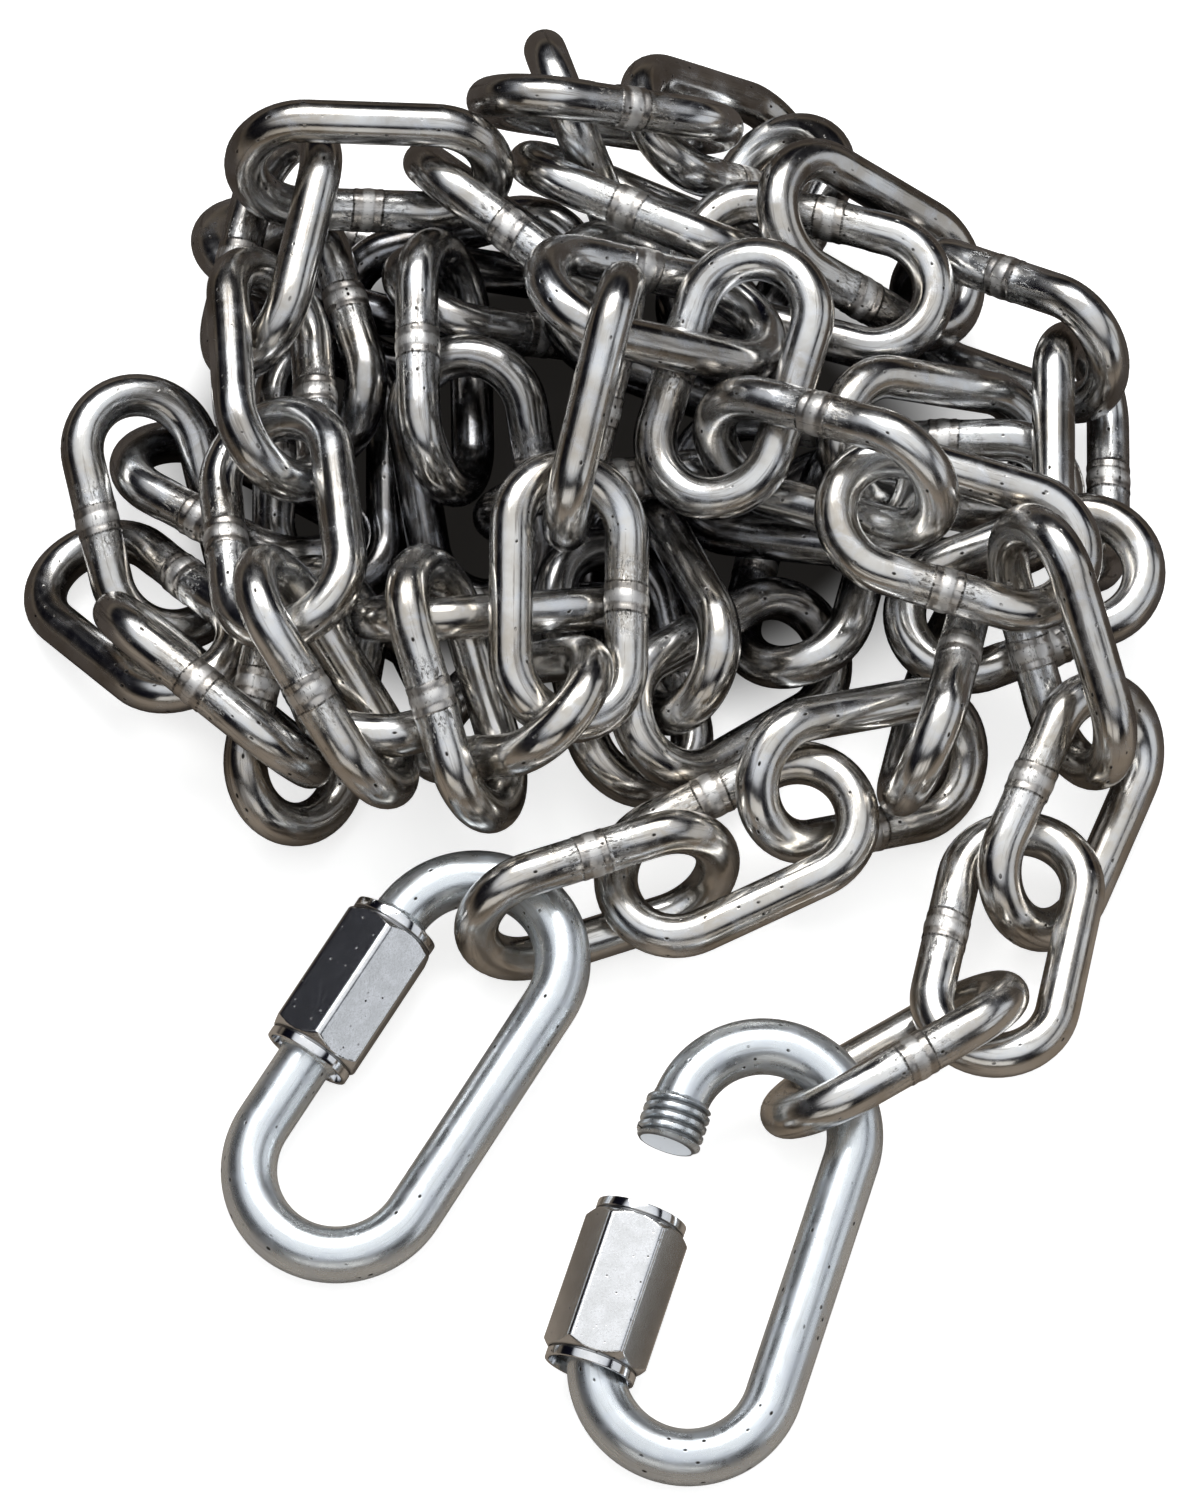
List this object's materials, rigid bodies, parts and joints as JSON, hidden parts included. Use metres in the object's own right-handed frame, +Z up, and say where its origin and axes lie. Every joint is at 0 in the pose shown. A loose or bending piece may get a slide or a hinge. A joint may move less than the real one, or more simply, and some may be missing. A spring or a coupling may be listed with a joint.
{
  "type": "heap of steel chain",
  "caption": "Heap of welded zinc-plated steel chain in one strand, with a screw quick link on each end, one closed and one open.",
  "frame": {"origin": "on the floor, under the middle of the heap's bounding box", "axes": "+X to the right and +Y to the back as seen from the side where the two quick links lie, +Z up"},
  "size_m": [0.1456, 0.1945, 0.0491],
  "materials": {
    "chain_zinc": "bright zinc plating with small pits and a faint yellow and blue tint",
    "quick_link_zinc": "bright zinc plating, slightly duller than the chain's",
    "sleeve_zinc": "mirror-bright zinc plating on turned and flat faces"
  },
  "bodies": {
    "heap": {"link_01": "chain_zinc", "link_02": "chain_zinc", "link_03": "chain_zinc", "link_04": "chain_zinc", "link_05": "chain_zinc", "link_06": "chain_zinc", "link_07": "chain_zinc", "link_08": "chain_zinc", "link_09": "chain_zinc", "link_10": "chain_zinc", "link_11": "chain_zinc", "link_12": "chain_zinc", "link_13": "chain_zinc", "link_14": "chain_zinc", "link_15": "chain_zinc", "link_16": "chain_zinc", "link_17": "chain_zinc", "link_18": "chain_zinc", "link_19": "chain_zinc", "link_20": "chain_zinc", "link_21": "chain_zinc", "link_22": "chain_zinc", "link_23": "chain_zinc", "link_24": "chain_zinc", "link_25": "chain_zinc", "link_26": "chain_zinc", "link_27": "chain_zinc", "link_28": "chain_zinc", "link_29": "chain_zinc", "link_30": "chain_zinc", "link_31": "chain_zinc", "link_32": "chain_zinc", "link_33": "chain_zinc", "link_34": "chain_zinc", "link_35": "chain_zinc", "link_36": "chain_zinc", "link_37": "chain_zinc", "link_38": "chain_zinc", "link_39": "chain_zinc", "link_40": "chain_zinc", "link_41": "chain_zinc", "link_42": "chain_zinc", "link_43": "chain_zinc", "link_44": "chain_zinc", "link_45": "chain_zinc", "link_46": "chain_zinc", "link_47": "chain_zinc", "link_48": "chain_zinc", "link_49": "chain_zinc", "link_50": "chain_zinc", "link_51": "chain_zinc", "link_52": "chain_zinc", "link_53": "chain_zinc", "link_54": "chain_zinc", "link_55": "chain_zinc", "quick_link_closed": "quick_link_zinc", "quick_link_open": "quick_link_zinc"},
    "sleeve_closed": {"sleeve_closed": "sleeve_zinc"},
    "sleeve_open": {"sleeve_open": "sleeve_zinc"}
  },
  "joints": [
    {"name": "sleeve_closed_travel", "type": "slide", "parent": "heap", "child": "sleeve_closed", "axis": [0.5323, 0.8356, 0.1357], "range_m": [-0.0139, 0]},
    {"name": "sleeve_open_travel", "type": "slide", "parent": "heap", "child": "sleeve_open", "axis": [0.3148, 0.9408, 0.1253], "range_m": [0, 0.0139]}
  ]
}
